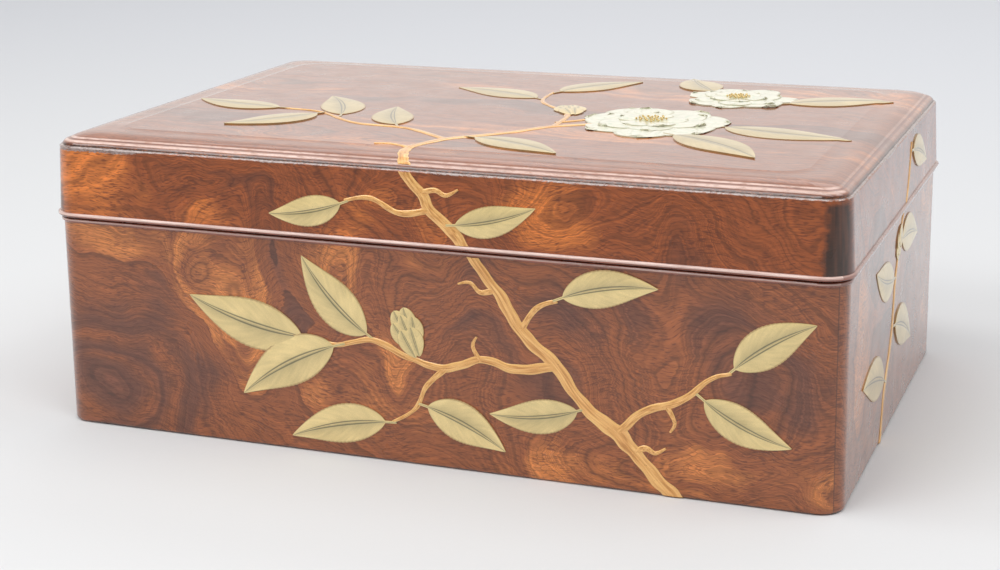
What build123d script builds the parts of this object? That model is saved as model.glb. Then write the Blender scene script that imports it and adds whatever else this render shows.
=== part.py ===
"""Lidded wooden box for tea utensils, with a lift-off lid and a hanging inner tray.

The lower box is four mitred boards round a pegged bottom board. A thin lip inside the mouth locates the lid,
which rests on the upper ends of the boards. Both mouths carry a half-round bead. A shallow tray hangs by its
flange from the lip.

Millimetres, +Z up, front of the box towards -Y. The origin is the middle of the underside.
"""

import os
from math import atan, degrees, sqrt

from build123d import *

# ---------------------------------------------------------------- driving sizes
# Lower box
box_length = 400.0  # outside, along X
box_depth = 264.0  # outside, along Y
seam_height = 108.0  # underside to the plane where the lid rests
corner_radius = 12.0  # upright outer corners
wall = 9.0  # thickness of the boards
foot_rounding = 1.5  # lowest outer arris
bottom_thickness = 8.0
bottom_lap = 5.0  # how far the bottom board runs under each wall

# Beads round the two mouths
bead_height = 2.2
bead_bed = 2.5  # how deep a bead is let into its board
bead_rounding = 1.05  # upper and lower arris
bead_relief = 0.4  # each bead stays this far back from the seam, so that the boards meet
base_bead_projection = 1.1
lid_bead_projection = 1.1

# Lip inside the mouth
lip_thickness = 4.0
lip_rise = 12.0  # above the seam
lip_depth = 18.0  # below the seam
lip_chamfer = 0.8
lip_clearance = 0.4  # between the lip and the lid's boards

# Lid
lid_wall_height = 36.3  # seam to the upper arris of the lid's boards
lid_flare = 1.6  # how much further out the lid's boards stand at the seam than at the arris
arris_chamfer = 0.6
panel_drop = 2.0  # how far the top board drops between the lid's boards

# Moulded edge of the top board, a quirk and cove under a roll that runs out into a slight dome. Each outline is
# (inset from the box's outline, height over the arris, how much rounder its corners are than parallel ones)
roll_start = (4.8, 3.1, 1.3)
quirk_and_cove = [(1.3, 0.0, 0.0), (1.7, 1.0, 0.0), roll_start]
roll_and_dome = [roll_start, (8.0, 4.6, 5.0), (14.0, 5.6, 13.0), (24.0, 6.1, 27.0)]

# Loose tongues in the mitres
tongue_thickness = 2.0
tongue_width = 6.0
tongue_setback = 2.6  # from a board's inner corner to the middle of the tongue, along the mitre
tongue_margin = 5.0  # solid wood above and below a tongue

# Pegs under the bottom board, and dowels between the lid's boards and its top
peg_diameter = 2.2
peg_depth = 18.0  # from the underside
dowel_depth = 12.0  # below the arris
dowel_rise = 1.8  # above the arris
dowel_inset = 5.5  # from the box's outline
peg_spacing = 80.0

# Inner tray
tray_clearance = 1.5  # between the tray and the lip
tray_wall = 5.0
tray_height = 38.0  # underside to the top of the flange
tray_bottom_thickness = 4.0
tray_bottom_lap = 2.5
tray_corner_radius = 2.0
flange_thickness = 3.0
flange_bed = 2.0  # how deep the flange is let into the tray's walls
flange_setback = 0.8  # from the lip's outer face to the flange's outer edge
flange_rounding = 1.2
finger_slot_length = 64.0
finger_slot_height = 14.0
finger_slot_drop = 15.0  # from the top of the flange to the middle of the slot

cut_margin = 5.0  # how far a cutting block reaches past what it cuts

# ---------------------------------------------------------------- derived sizes
arris_height = seam_height + lid_wall_height
inner_length = box_length - 2 * wall
inner_depth = box_depth - 2 * wall
lid_inner_length = inner_length + 2 * lip_clearance
lid_inner_depth = inner_depth + 2 * lip_clearance
lip_inner_length = inner_length - 2 * lip_thickness
lip_inner_depth = inner_depth - 2 * lip_thickness
tray_length = lip_inner_length - 2 * tray_clearance
tray_depth = lip_inner_depth - 2 * tray_clearance
tray_floor_length = tray_length - 2 * tray_wall
tray_floor_depth = tray_depth - 2 * tray_wall
lip_top = seam_height + lip_rise
lip_bottom = seam_height - lip_depth
tray_top = lip_top + flange_thickness
tray_underside = tray_top - tray_height
base_bead_bottom = seam_height - bead_relief - bead_height
lid_bead_top = seam_height + bead_relief + bead_height
peg_count_x = int(box_length // peg_spacing)
peg_count_y = int(box_depth // peg_spacing)
outermost = lid_flare + max(base_bead_projection, lid_bead_projection)
innermost = wall + lip_thickness + tray_clearance + tray_wall

SIDES = ("front", "right", "back", "left")


def outline(inset, radius, mode=Mode.ADD):
    """The box's outline, moved in by inset all round, with rounded corners."""
    RectangleRounded(box_length - 2 * inset, box_depth - 2 * inset, radius, mode=mode)


def outline_corners(inset):
    """Corners of the box's outline moved in by inset, from the front left one round to the back left one."""
    x = box_length / 2 - inset
    y = box_depth / 2 - inset
    return [(-x, -y), (x, -y), (x, y), (-x, y)]


def export(piece, name):
    """Labels a finished piece and writes its STEP file."""
    piece.label = name
    export_step(piece, f"parts/{name}.step")


def export_sides(ring, prefix):
    """Cuts a ring into its four sides along the mitres, and writes each one."""
    outer = outline_corners(-outermost - cut_margin)
    inner = outline_corners(innermost + cut_margin)
    for first, side in enumerate(SIDES):
        second = (first + 1) % len(SIDES)
        with BuildPart() as piece:
            add(ring)
            with BuildSketch():
                Polygon(outer[first], outer[second], inner[second], inner[first], align=None)
            extrude(amount=arris_height + cut_margin, mode=Mode.INTERSECT)
        export(piece.part, f"{prefix}_{side}")


def tongue_sections(corner_x, corner_y):
    """One rectangle across each mitre of a ring of boards, whose inner faces meet at the given corner."""
    shift = tongue_setback / sqrt(2)
    for side_x in (-1, 1):
        for side_y in (-1, 1):
            with Locations((side_x * (corner_x + shift), side_y * (corner_y + shift))):
                Rectangle(tongue_width, tongue_thickness, rotation=-45 * side_x * side_y)


def peg_sections(inset):
    """One circle for each peg, in rows along the four boards at an inset from the box's outline."""
    with GridLocations(peg_spacing, box_depth - 2 * inset, peg_count_x, 2):
        Circle(peg_diameter / 2)
    with GridLocations(box_length - 2 * inset, peg_spacing, 2, peg_count_y):
        Circle(peg_diameter / 2)


os.makedirs("parts", exist_ok=True)

# ---------------------------------------------------------------- lower box
peg_inset = wall - bottom_lap / 2
base_tongue_bottom = bottom_thickness + tongue_margin
base_tongue_length = base_bead_bottom - tongue_margin - base_tongue_bottom

with BuildPart() as base_walls:
    with BuildSketch():
        outline(0, corner_radius)
    extrude(amount=seam_height)
    fillet(base_walls.faces().sort_by(Axis.Z)[0].edges(), foot_rounding)
    with BuildSketch():
        Rectangle(inner_length, inner_depth)
    extrude(amount=seam_height, mode=Mode.SUBTRACT)
    # Rebate for the bottom board
    with BuildSketch():
        Rectangle(inner_length + 2 * bottom_lap, inner_depth + 2 * bottom_lap)
    extrude(amount=bottom_thickness, mode=Mode.SUBTRACT)
    # Bed for the bead
    with BuildSketch(Plane.XY.offset(base_bead_bottom)):
        outline(-cut_margin, corner_radius + cut_margin)
        outline(bead_bed, corner_radius - bead_bed, mode=Mode.SUBTRACT)
    extrude(amount=bead_height + bead_relief, mode=Mode.SUBTRACT)
    with BuildSketch(Plane.XY.offset(base_tongue_bottom)):
        tongue_sections(inner_length / 2, inner_depth / 2)
    extrude(amount=base_tongue_length, mode=Mode.SUBTRACT)
    with BuildSketch():
        peg_sections(peg_inset)
    extrude(amount=peg_depth, mode=Mode.SUBTRACT)
export_sides(base_walls.part, "base_wall")

with BuildPart() as base_bottom:
    with BuildSketch():
        Rectangle(inner_length + 2 * bottom_lap, inner_depth + 2 * bottom_lap)
    extrude(amount=bottom_thickness)
    with BuildSketch():
        peg_sections(peg_inset)
    extrude(amount=bottom_thickness, mode=Mode.SUBTRACT)
export(base_bottom.part, "base_bottom")

with BuildPart() as base_pegs:
    with BuildSketch():
        peg_sections(peg_inset)
    extrude(amount=peg_depth)
export(base_pegs.part, "base_pegs")

with BuildPart() as base_tongues:
    with BuildSketch(Plane.XY.offset(base_tongue_bottom)):
        tongue_sections(inner_length / 2, inner_depth / 2)
    extrude(amount=base_tongue_length)
export(base_tongues.part, "base_tongues")

with BuildPart() as base_bead:
    with BuildSketch(Plane.XY.offset(base_bead_bottom)):
        outline(-base_bead_projection, corner_radius + base_bead_projection)
    extrude(amount=bead_height)
    fillet(base_bead.faces().filter_by(Axis.Z).edges(), bead_rounding)
    with BuildSketch(Plane.XY.offset(base_bead_bottom)):
        outline(bead_bed, corner_radius - bead_bed)
    extrude(amount=bead_height, mode=Mode.SUBTRACT)
export_sides(base_bead.part, "base_bead")

with BuildPart() as lip:
    with BuildSketch(Plane.XY.offset(lip_bottom)):
        Rectangle(inner_length, inner_depth)
    extrude(amount=lip_top - lip_bottom)
    chamfer(lip.faces().sort_by(Axis.Z)[-1].edges(), lip_chamfer)
    with BuildSketch(Plane.XY.offset(lip_bottom)):
        Rectangle(lip_inner_length, lip_inner_depth)
    extrude(amount=lip_top - lip_bottom, mode=Mode.SUBTRACT)
export_sides(lip.part, "base_lip")

# ---------------------------------------------------------------- lid
flare_angle = degrees(atan(lid_flare / lid_wall_height))
lid_bead_inset = -lid_flare - lid_bead_projection
lid_bed_inset = bead_bed - lid_flare
lid_tongue_bottom = lid_bead_top + tongue_margin
lid_tongue_length = arris_height - tongue_margin - lid_tongue_bottom

with BuildPart() as lid_walls:
    with BuildSketch(Plane.XY.offset(seam_height)):
        outline(-lid_flare, corner_radius + lid_flare)
    extrude(amount=lid_wall_height, taper=flare_angle)
    chamfer(lid_walls.faces().sort_by(Axis.Z)[-1].edges(), arris_chamfer)
    with BuildSketch(Plane.XY.offset(seam_height)):
        Rectangle(lid_inner_length, lid_inner_depth)
    extrude(amount=lid_wall_height, mode=Mode.SUBTRACT)
    # Bed for the bead
    with BuildSketch(Plane.XY.offset(seam_height)):
        outline(lid_bead_inset - cut_margin, corner_radius - lid_bead_inset + cut_margin)
        outline(lid_bed_inset, corner_radius - lid_bed_inset, mode=Mode.SUBTRACT)
    extrude(amount=bead_relief + bead_height, mode=Mode.SUBTRACT)
    with BuildSketch(Plane.XY.offset(lid_tongue_bottom)):
        tongue_sections(lid_inner_length / 2, lid_inner_depth / 2)
    extrude(amount=lid_tongue_length, mode=Mode.SUBTRACT)
    with BuildSketch(Plane.XY.offset(arris_height - dowel_depth)):
        peg_sections(dowel_inset)
    extrude(amount=dowel_depth, mode=Mode.SUBTRACT)
export_sides(lid_walls.part, "lid_wall")

with BuildPart() as lid_top:
    with BuildSketch(Plane.XY.offset(arris_height - panel_drop)):
        Rectangle(lid_inner_length, lid_inner_depth)
    extrude(amount=panel_drop)
    for profile in (quirk_and_cove, roll_and_dome):
        for inset, rise, extra_radius in profile:
            with BuildSketch(Plane.XY.offset(arris_height + rise)):
                outline(inset, corner_radius - inset + extra_radius)
        loft()
    with BuildSketch(Plane.XY.offset(arris_height)):
        peg_sections(dowel_inset)
    extrude(amount=dowel_rise, mode=Mode.SUBTRACT)
export(lid_top.part, "lid_top")

with BuildPart() as lid_dowels:
    with BuildSketch(Plane.XY.offset(arris_height - dowel_depth)):
        peg_sections(dowel_inset)
    extrude(amount=dowel_depth + dowel_rise)
export(lid_dowels.part, "lid_dowels")

with BuildPart() as lid_tongues:
    with BuildSketch(Plane.XY.offset(lid_tongue_bottom)):
        tongue_sections(lid_inner_length / 2, lid_inner_depth / 2)
    extrude(amount=lid_tongue_length)
export(lid_tongues.part, "lid_tongues")

with BuildPart() as lid_bead:
    with BuildSketch(Plane.XY.offset(seam_height + bead_relief)):
        outline(lid_bead_inset, corner_radius - lid_bead_inset)
    extrude(amount=bead_height)
    fillet(lid_bead.faces().filter_by(Axis.Z).edges(), bead_rounding)
    with BuildSketch(Plane.XY.offset(seam_height + bead_relief)):
        outline(lid_bed_inset, corner_radius - lid_bed_inset)
    extrude(amount=bead_height, mode=Mode.SUBTRACT)
export_sides(lid_bead.part, "lid_bead")

# ---------------------------------------------------------------- tray
bed_length = tray_length - 2 * flange_bed
bed_depth = tray_depth - 2 * flange_bed
tray_bottom_length = tray_floor_length + 2 * tray_bottom_lap
tray_bottom_depth = tray_floor_depth + 2 * tray_bottom_lap

with BuildPart() as tray_walls:
    with BuildSketch(Plane.XY.offset(tray_underside)):
        RectangleRounded(tray_length, tray_depth, tray_corner_radius)
        Rectangle(tray_floor_length, tray_floor_depth, mode=Mode.SUBTRACT)
    extrude(amount=tray_height)
    # Rebate for the floor
    with BuildSketch(Plane.XY.offset(tray_underside)):
        Rectangle(tray_bottom_length, tray_bottom_depth)
    extrude(amount=tray_bottom_thickness, mode=Mode.SUBTRACT)
    # Bed for the flange
    with BuildSketch(Plane.XY.offset(lip_top)):
        Rectangle(tray_length, tray_depth)
        Rectangle(bed_length, bed_depth, mode=Mode.SUBTRACT)
    extrude(amount=flange_thickness, mode=Mode.SUBTRACT)
    # Finger slots through both ends
    with BuildSketch(Plane.YZ):
        with Locations((0, tray_top - finger_slot_drop)):
            SlotOverall(finger_slot_length, finger_slot_height)
    extrude(amount=tray_length / 2, both=True, mode=Mode.SUBTRACT)
export_sides(tray_walls.part, "tray_wall")

with BuildPart() as tray_bottom:
    with BuildSketch(Plane.XY.offset(tray_underside)):
        Rectangle(tray_bottom_length, tray_bottom_depth)
    extrude(amount=tray_bottom_thickness)
export(tray_bottom.part, "tray_bottom")

with BuildPart() as flange:
    with BuildSketch(Plane.XY.offset(lip_top)):
        Rectangle(inner_length - 2 * flange_setback, inner_depth - 2 * flange_setback)
    extrude(amount=flange_thickness)
    fillet(flange.faces().sort_by(Axis.Z)[-1].edges(), flange_rounding)
    with BuildSketch(Plane.XY.offset(lip_top)):
        Rectangle(bed_length, bed_depth)
    extrude(amount=flange_thickness, mode=Mode.SUBTRACT)
export_sides(flange.part, "tray_flange")
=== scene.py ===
"""Dresses a lidded box for tea utensils: figured lacquered wood, a gold spray in low relief, a pale studio.

Laid out as an add-on. The frame gives the box's pieces; this file gives them their finish, adds the raised
decoration, and sets up the floor, the lights and the camera.
"""

import math
import random

import bpy
from bpy.props import FloatProperty, FloatVectorProperty, PointerProperty
from bpy.types import Operator, Panel, PropertyGroup
from mathutils import Matrix, Vector
from mathutils.bvhtree import BVHTree


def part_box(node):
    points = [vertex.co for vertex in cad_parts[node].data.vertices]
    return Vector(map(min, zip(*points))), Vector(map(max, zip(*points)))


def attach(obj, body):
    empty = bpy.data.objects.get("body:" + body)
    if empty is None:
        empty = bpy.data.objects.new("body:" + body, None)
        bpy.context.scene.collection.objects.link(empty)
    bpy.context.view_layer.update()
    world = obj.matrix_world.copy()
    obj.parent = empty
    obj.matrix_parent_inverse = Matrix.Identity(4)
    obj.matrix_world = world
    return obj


bl_info = {
    "name": "Tea box",
    "version": (1, 0, 0),
    "blender": (4, 5, 0),
    "location": "View3D > Sidebar > Tea box",
    "description": "Finishes a lidded tea box in figured wood, lacquer and raised gold",
    "category": "Object",
}

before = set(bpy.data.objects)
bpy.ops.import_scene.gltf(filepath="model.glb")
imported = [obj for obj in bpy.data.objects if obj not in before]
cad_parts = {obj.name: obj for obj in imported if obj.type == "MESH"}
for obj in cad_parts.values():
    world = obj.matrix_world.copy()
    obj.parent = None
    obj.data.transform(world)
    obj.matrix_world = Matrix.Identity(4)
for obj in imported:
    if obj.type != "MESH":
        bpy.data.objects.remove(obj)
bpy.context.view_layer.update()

MM = 0.001
SIDES = ("front", "right", "back", "left")

# ---------------------------------------------------------------- the box's sizes in mm, read from the frame
base_front_low, base_front_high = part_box("base_wall_front")
lid_front_low, lid_front_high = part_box("lid_wall_front")

FRONT = -base_front_low.y / MM  # from the middle of the box to the face of its front board
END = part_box("base_wall_right")[1].x / MM  # from the middle to the face of the right board
WALL = (base_front_high.y - base_front_low.y) / MM
SEAM = lid_front_low.z / MM
ARRIS = lid_front_high.z / MM
FLARE = -lid_front_low.y / MM - FRONT
BASE_BEAD_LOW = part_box("base_bead_front")[0].z / MM
LID_BEAD_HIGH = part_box("lid_bead_front")[1].z / MM
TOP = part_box("lid_top")[1].z / MM
MOULDING = TOP - ARRIS  # how high the top board stands over the lid's arris


# ---------------------------------------------------------------- settings
def colour_setting(name, description, default):
    """A colour that the user may change, as red, green, blue and alpha."""
    return FloatVectorProperty(
        name=name, description=description, subtype="COLOR", size=4, min=0, max=1, default=default)


class TeaBoxWood(PropertyGroup):
    """Colours and figure of the wood."""

    dark: colour_setting(
        "Dark wood", "Late wood, in the hollows of the figure", (0.175, 0.056, 0.028, 1))
    middle: colour_setting(
        "Red-brown wood", "Most of the surface", (0.330, 0.094, 0.027, 1))
    light: colour_setting(
        "Orange wood", "The tongues of lighter wood", (0.69, 0.228, 0.054, 1))
    pore: colour_setting(
        "Pores", "The fine dashes along the fibres", (0.090, 0.020, 0.009, 1))
    worn: colour_setting(
        "Worn edge", "The lid's edge where the lacquer has chipped off", (0.30, 0.215, 0.190, 1))
    # Painted highlight: the pale colour laid on the lid's mouldings and along the beads' crests where light
    # would shine on them.
    painted_light_and_wear: colour_setting(
        "Rubbed moulding", "The lid's mouldings where hands have rubbed them", (0.84, 0.62, 0.54, 1))


class TeaBoxLacquer(PropertyGroup):
    """Colours of the lacquered pieces."""

    bead: colour_setting(
        "Bead lacquer", "The brown lacquer on the beads and the tray's flange", (0.150, 0.042, 0.025, 1))
    corner: colour_setting(
        "Corner lacquer", "The blackish lacquer on the lid's corners", (0.032, 0.018, 0.013, 1))
    ground: colour_setting(
        "Inner ground", "The amber lacquer inside the box", (0.150, 0.048, 0.017, 1))
    flake: colour_setting(
        "Gold flakes", "The flakes strewn in the amber lacquer", (0.84, 0.54, 0.18, 1))


class TeaBoxSpray(PropertyGroup):
    """Colours and heights of the raised decoration."""

    leaf: colour_setting(
        "Leaf gold", "The greenish gold of the leaves", (0.74, 0.575, 0.265, 1))
    vein: colour_setting(
        "Vein", "The grey-green lines of the midrib", (0.150, 0.140, 0.075, 1))
    branch: colour_setting(
        "Branch gold", "The orange gold of the branches", (0.80, 0.410, 0.130, 1))
    petal: colour_setting(
        "Petal white", "The shell white of the blossoms", (0.82, 0.79, 0.64, 1))
    relief: FloatProperty(
        name="Relief", description="How far a leaf's middle stands over the wood, in millimetres",
        default=0.55, min=0.1, max=2)


class TeaBoxStage(PropertyGroup):
    """Floor colour and camera lens."""

    floor: colour_setting(
        "Floor", "Colour of the floor", (0.735, 0.74, 0.74, 1))
    lens: FloatProperty(
        name="Lens", description="Focal length on a 36 mm sensor", default=68.9, min=10, max=300)


# ---------------------------------------------------------------- building shader graphs
class Graph:
    """A short way to write a node tree: each method adds a node and returns its main output socket."""

    def __init__(self, tree):
        self.tree = tree
        tree.nodes.clear()

    def node(self, kind, inputs=None, **settings):
        """Adds a node. inputs maps an input's name or number to a socket or a plain value."""
        new = self.tree.nodes.new(kind)
        for key, value in settings.items():
            setattr(new, key, value)
        for key, value in (inputs or {}).items():
            if isinstance(value, bpy.types.NodeSocket):
                self.tree.links.new(value, new.inputs[key])
            else:
                new.inputs[key].default_value = value
        return new

    def math(self, operation, a, b=0.0, c=0.0, clamp=False):
        new = self.node("ShaderNodeMath", {0: a, 1: b, 2: c}, operation=operation, use_clamp=clamp)
        return new.outputs[0]

    def times(self, a, b):
        return self.math("MULTIPLY", a, b)

    def minus(self, a, b):
        return self.math("SUBTRACT", a, b)

    def vector(self, operation, a, b=(0, 0, 0)):
        new = self.node("ShaderNodeVectorMath", {0: a, 1: b}, operation=operation)
        return new.outputs["Value"] if operation in ("LENGTH", "DOT_PRODUCT") else new.outputs["Vector"]

    def scaled(self, vector, factor):
        new = self.node("ShaderNodeVectorMath", {0: vector, "Scale": factor}, operation="SCALE")
        return new.outputs["Vector"]

    def separate(self, vector):
        return self.node("ShaderNodeSeparateXYZ", {0: vector}).outputs

    def combine(self, x, y, z=0.0):
        return self.node("ShaderNodeCombineXYZ", {0: x, 1: y, 2: z}).outputs[0]

    def noise(self, vector, scale=1.0, detail=2.0, roughness=0.5, output="Fac"):
        new = self.node("ShaderNodeTexNoise", {"Vector": vector, "Scale": scale, "Detail": detail,
                                               "Roughness": roughness})
        return new.outputs[output]

    def stretched_noise(self, vector, marks, detail=2.0, roughness=0.5, output="Fac"):
        """Noise with its own number of marks to a millimetre along each axis."""
        return self.noise(self.vector("MULTIPLY", vector, marks), 1.0, detail, roughness, output)

    def noise_along(self, value, scale=1.0, detail=2.0, roughness=0.5):
        """Noise that changes only with one value, such as the number of a ring."""
        new = self.node("ShaderNodeTexNoise", {"Scale": scale, "Detail": detail, "Roughness": roughness},
                        noise_dimensions="1D")
        self.tree.links.new(value, new.inputs["W"])
        return new.outputs["Fac"]

    def ramp(self, factor, stops, interpolation="LINEAR"):
        """A colour ramp. stops is a list of (place, colour), or (place, grey)."""
        new = self.node("ShaderNodeValToRGB", {0: factor})
        elements = new.color_ramp.elements
        new.color_ramp.interpolation = interpolation
        while len(elements) < len(stops):
            elements.new(0.5)
        for element, (place, colour) in zip(elements, stops):
            element.position = place
            element.color = colour if hasattr(colour, "__len__") else (colour, colour, colour, 1)
        return new.outputs[0]

    def step(self, value, low, high):
        """0 under low, 1 over high, smooth between. low over high turns it round."""
        new = self.node("ShaderNodeMapRange", {0: value, 1: low, 2: high, 3: 0.0, 4: 1.0},
                        interpolation_type="SMOOTHSTEP")
        return new.outputs[0]

    def mix(self, factor, a, b, blend="MIX"):
        new = self.node("ShaderNodeMix", {0: factor, 6: a, 7: b}, data_type="RGBA", blend_type=blend)
        return new.outputs[2]

    def bump(self, height, strength, distance, normal=None):
        inputs = {"Height": height, "Strength": strength, "Distance": distance}
        if normal is not None:
            inputs["Normal"] = normal
        return self.node("ShaderNodeBump", inputs).outputs[0]

    def surface(self, colour, roughness, normal=None, **constants):
        """The shader itself. constants set its own sockets, such as coat_weight=1.0."""
        inputs = {"Base Color": colour, "Roughness": roughness}
        if normal is not None:
            inputs["Normal"] = normal
        inputs.update({key.replace("_", " ").title().replace("Ior", "IOR"): value
                       for key, value in constants.items()})
        shader = self.node("ShaderNodeBsdfPrincipled", inputs)
        self.node("ShaderNodeOutputMaterial", {"Surface": shader.outputs[0]})
        return shader

    def along_and_across(self):
        """The piece's own UV map, which runs from 0 to 1 along it and across it."""
        return self.separate(self.node("ShaderNodeUVMap").outputs[0])

    def millimetres(self):
        """Object coordinates in millimetres."""
        place = self.node("ShaderNodeTexCoord").outputs["Object"]
        return self.scaled(place, 1 / MM)


def tinted(colour, factors):
    """A colour with its red, green and blue each multiplied by a factor, and no brighter than 1."""
    return tuple(min(1.0, channel * factor) for channel, factor in zip(colour[:3], factors)) + (1,)


def new_material(name):
    material = bpy.data.materials.new(name)
    material.use_nodes = True
    return material, Graph(material.node_tree)


# ---------------------------------------------------------------- wood
# The rings are the contour lines of a height over the face. Each swell of that height is
# (across, up, half width, half height, rings), in mm on the face. A hill is light wood and a hollow is dark.
FRONT_SWELLS = [
    (-10, 62, 110, 90, 1.0),  # the front is lighter in the middle than at its ends
    (-166, 28, 50, 36, -8.5),  # the dark knot low on the left
    (-236, 124, 74, 42, 4.3),  # the orange wood over it, with its rings slanting down to the right
    (-116, 82, 12, 26, 5.4),  # two tongues of orange wood, side by side
    (-95, 62, 15, 38, 6.0),
    (-112, 138, 30, 9, -2.6),
    (-77, 108, 11, 40, -4.2),  # the dark stream beside them
    (-72, 56, 8, 22, -2.4),
    (-45, 86, 9, 19, 4.6),  # the eye
    (-50, 62, 20, 7, -2.2),
    (-22, 128, 13, 16, 2.6),
    (6, 112, 14, 26, 2.6),
    (-14, 70, 7, 30, 2.2),
    (24, 66, 20, 44, -3.8),
    (68, 130, 26, 14, 2.6),
    (72, 60, 26, 46, -3.6),
    (84, 10, 26, 20, 3.6),  # the arches low on the right
    (118, 48, 18, 26, 2.4),
    (126, 122, 12, 26, -2.2),
    (156, 66, 28, 30, -2.8),  # the hanging curves
    (146, 16, 40, 13, 4.4),
    (172, 122, 22, 22, 1.6),
    (200, 3, 13, 12, 6.0),
]
SIDE_SWELLS = [
    (-92, 50, 24, 44, 4.5),
    (-54, 104, 26, 22, -3.8),
    (-14, 34, 20, 34, -4.6),
    (16, 92, 13, 30, 4.2),
    (52, 52, 26, 40, -4.0),
    (92, 108, 24, 30, 3.4),
    (104, 26, 20, 22, 4.4),
]
BACK_SWELLS = [
    (-172, 92, 44, 40, 3.2),
    (-118, 26, 40, 34, -4.0),
    (-72, 96, 16, 44, 3.4),
    (-44, 60, 18, 50, -3.2),
    (-6, 22, 40, 26, 3.0),
    (24, 112, 34, 34, -3.6),
    (70, 56, 15, 40, 3.6),
    (104, 88, 26, 50, -3.2),
    (150, 30, 40, 34, 3.4),
    (184, 116, 34, 34, -3.4),
]
TOP_SWELLS = [
    (-150, 26, 52, 18, 4.2),
    (-128, -66, 70, 16, -3.2),
    (-40, -104, 90, 12, 3.0),
    (-30, 20, 110, 20, -3.0),
    (46, 66, 100, 18, 3.4),
    (60, -52, 96, 14, 2.8),
    (150, -16, 70, 20, -3.6),
    (176, 88, 52, 18, 3.4),
]

# How far the rings stray and over how long a stretch, in mm
DRIFT = 34
DRIFT_SPAN = 48
RIPPLE = 4.2
RIPPLE_SPAN = 11
FRAY = (3.2, 0.5, 0)
# How many marks there are to a ring
BANDS = 0.42
LINES = 2.2
THREADS = 8.0
# How many marks there are to a millimetre, across and up the face. The fibres lie across, so a mark is long
# that way.
FRAYED = (0.055, 0.80, 0)
STREAKS = (0.085, 0.60, 0)
DASHES = (0.24, 1.55, 0)
LID_TINT = (1.0, 0.86, 0.66, 1)  # the lid's boards are of redder wood


def ring_field(g, flat, swells, slope, seed):
    """The height whose contour lines are the rings, and how light the wood is by its hills and hollows."""
    half = (0.5, 0.5, 0.5)
    drift = g.noise(g.vector("ADD", flat, (seed, 0, 0)), 1 / DRIFT_SPAN, 2.0, 0.5, "Color")
    drift = g.scaled(g.vector("SUBTRACT", drift, half), DRIFT)
    ripple = g.noise(g.vector("ADD", flat, (0, seed, 0)), 1 / RIPPLE_SPAN, 2.0, 0.55, "Color")
    ripple = g.scaled(g.vector("SUBTRACT", ripple, half), RIPPLE)
    # The fibres lie across, so every border between light and dark is frayed sideways
    fray = g.stretched_noise(flat, FRAYED, 2.0, 0.6, "Color")
    fray = g.vector("MULTIPLY", g.vector("SUBTRACT", fray, half), FRAY)
    place = g.vector("ADD", g.vector("ADD", flat, drift), g.vector("ADD", ripple, fray))
    level = 0.0
    for across, up, half_width, half_height, rings in swells:
        arm = g.vector("SUBTRACT", place, (across, up, 0))
        arm = g.vector("MULTIPLY", arm, (1 / half_width, 1 / half_height, 0))
        fall = g.math("EXPONENT", g.times(g.vector("DOT_PRODUCT", arm, arm), -1.0))
        level = g.math("MULTIPLY_ADD", fall, rings, level)
    height = g.math("ADD", level, g.vector("DOT_PRODUCT", place, (slope[0], slope[1], 0)))
    return height, g.math("TANH", g.times(level, 0.50))


def wood_figure(g, flat, swells, slope, seed):
    """The colour of the wood and how strongly its pores show. flat is the place on the face in mm."""
    wood = bpy.context.scene.tea_box_wood
    rings, level = ring_field(g, flat, swells, slope, seed)
    across, up, _ = g.separate(flat)

    # Broad zones, then the rings
    band = g.noise_along(rings, BANDS, 1.0, 0.45)
    cloud = g.noise(g.vector("ADD", flat, (0, 0, seed)), 1 / 40, 2.0, 0.55)
    tone = g.math("MULTIPLY_ADD", band, 0.36, g.times(cloud, 0.38))
    tone = g.math("MULTIPLY_ADD", level, 0.125, tone)
    zones = [(0.20, wood.dark), (0.34, wood.middle), (0.43, wood.middle), (0.56, wood.light)]
    colour = g.ramp(tone, zones, "EASE")
    line = g.noise_along(rings, LINES, 2.0, 0.60)
    ring_tone = g.ramp(line, [(0.34, 0.56), (0.45, 0.85), (0.56, 0.98), (0.66, 1.09)], "EASE")
    colour = g.mix(0.68, colour, ring_tone, "MULTIPLY")
    thread = g.noise_along(rings, THREADS, 2.0, 0.6)
    thread_tone = g.ramp(thread, [(0.36, 0.70), (0.50, 0.96), (0.64, 1.16)])
    colour = g.mix(0.8, colour, thread_tone, "MULTIPLY")

    # Fine streaks that run across, bent by the figure, and the dark dashes of the pores
    sway = g.times(g.noise(flat, 1 / 34, 1.0), 20.0)
    sway = g.math("MULTIPLY_ADD", rings, 1.5, sway)
    along = g.combine(across, g.math("ADD", up, sway))
    streak = g.stretched_noise(along, STREAKS, 2.0, 0.65)
    streak_tone = g.ramp(streak, [(0.32, 0.68), (0.50, 0.96), (0.68, 1.18)])
    colour = g.mix(0.85, colour, streak_tone, "MULTIPLY")
    dash = g.stretched_noise(along, DASHES, 1.0, 0.5)
    crowd = g.noise(flat, 1 / 19, 1.0)
    dash = g.math("MULTIPLY_ADD", g.minus(crowd, 0.5), 0.30, dash)
    pores = g.step(dash, 0.55, 0.66)
    return g.mix(g.times(pores, 0.60), colour, wood.pore), pores


CHIP_SHADE = (0.16, 0.09, 0.07, 1)
CHIP_LIGHT = (0.42, 0.34, 0.31, 1)


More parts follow.
